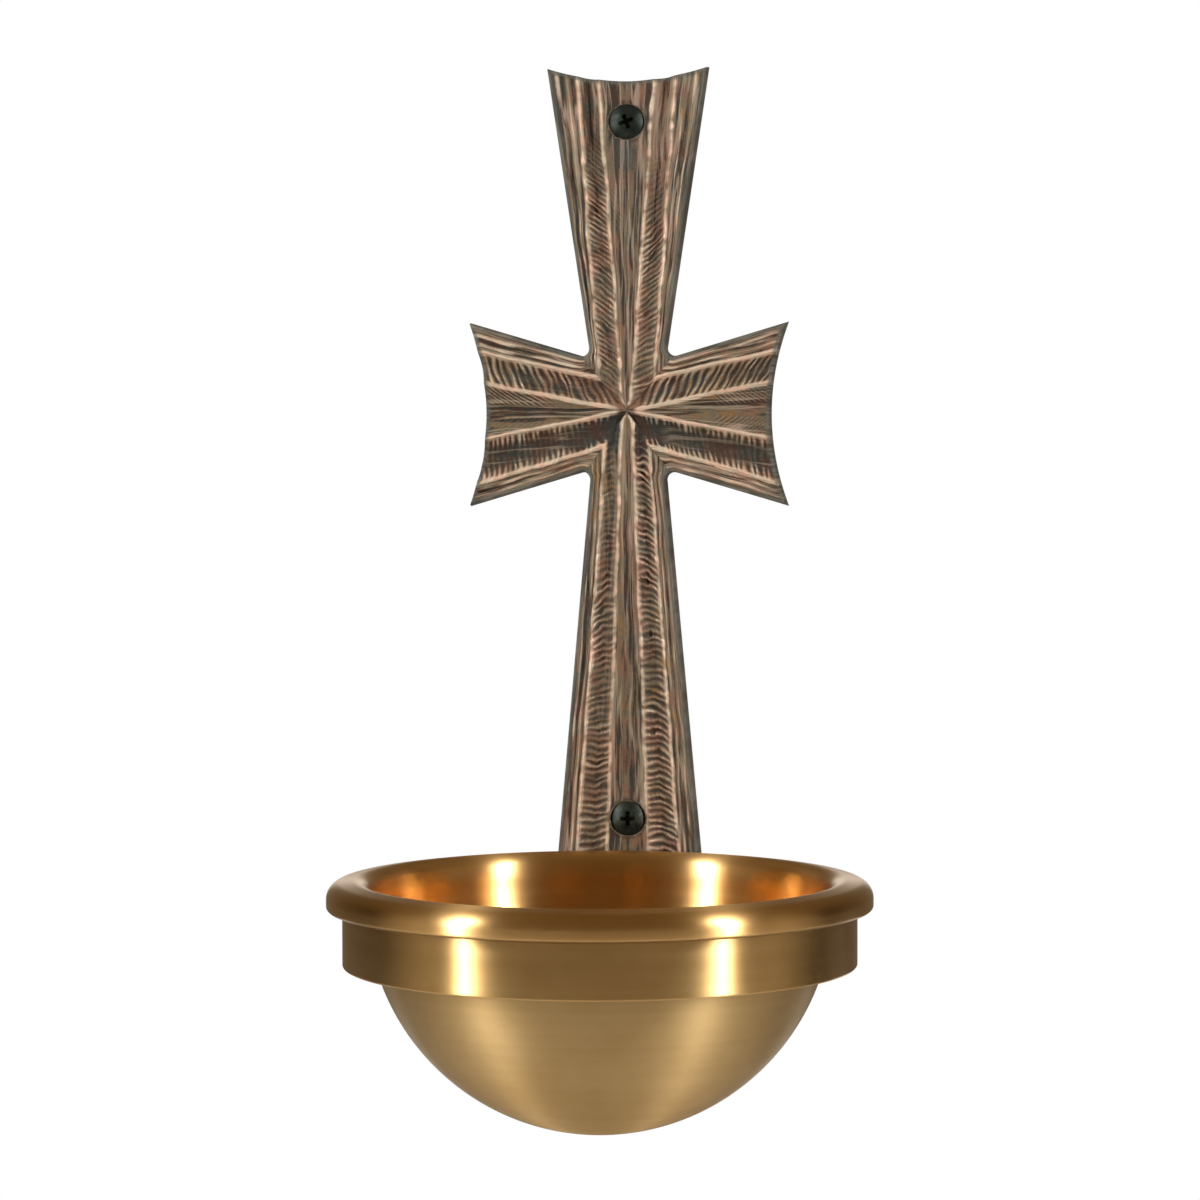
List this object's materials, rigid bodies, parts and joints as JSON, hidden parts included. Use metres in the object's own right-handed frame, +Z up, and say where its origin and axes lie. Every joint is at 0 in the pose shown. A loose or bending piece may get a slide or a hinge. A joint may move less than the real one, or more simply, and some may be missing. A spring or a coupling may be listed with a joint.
{
  "type": "holy water stoup",
  "caption": "Wall-mounted holy water stoup: a carved bronze cross whose foot carries a ring with a round bowl that lifts out.",
  "frame": {"origin": "on the wall plane, midway between the two wall screws", "axes": "+Z up along the cross, +Y into the wall, so the front faces -Y; +X is to the viewer's right"},
  "size_m": [0.14, 0.177, 0.2795],
  "materials": {
    "antique_bronze": "cast, darkened in the hollows and rubbed bright on the ridges",
    "satin_bronze": "turned and satin brushed",
    "bowl_bronze": "turned, satin outside and brighter inside",
    "black_screw_steel": "black oxide",
    "screw_brass": "plain turned brass"
  },
  "bodies": {
    "wall_part": {"cross_plate": "antique_bronze", "upper_wall_screw": "black_screw_steel", "lower_wall_screw": "black_screw_steel", "saddle": "satin_bronze", "saddle_screws": "screw_brass", "ring_screw": "screw_brass", "bowl_ring": "satin_bronze"},
    "loose_bowl": {"bowl": "bowl_bronze"}
  },
  "joints": [
    {"name": "bowl_lift", "type": "slide", "parent": "wall_part", "child": "loose_bowl", "axis": [0, 0, 1], "range_m": [0, 0.06]}
  ]
}
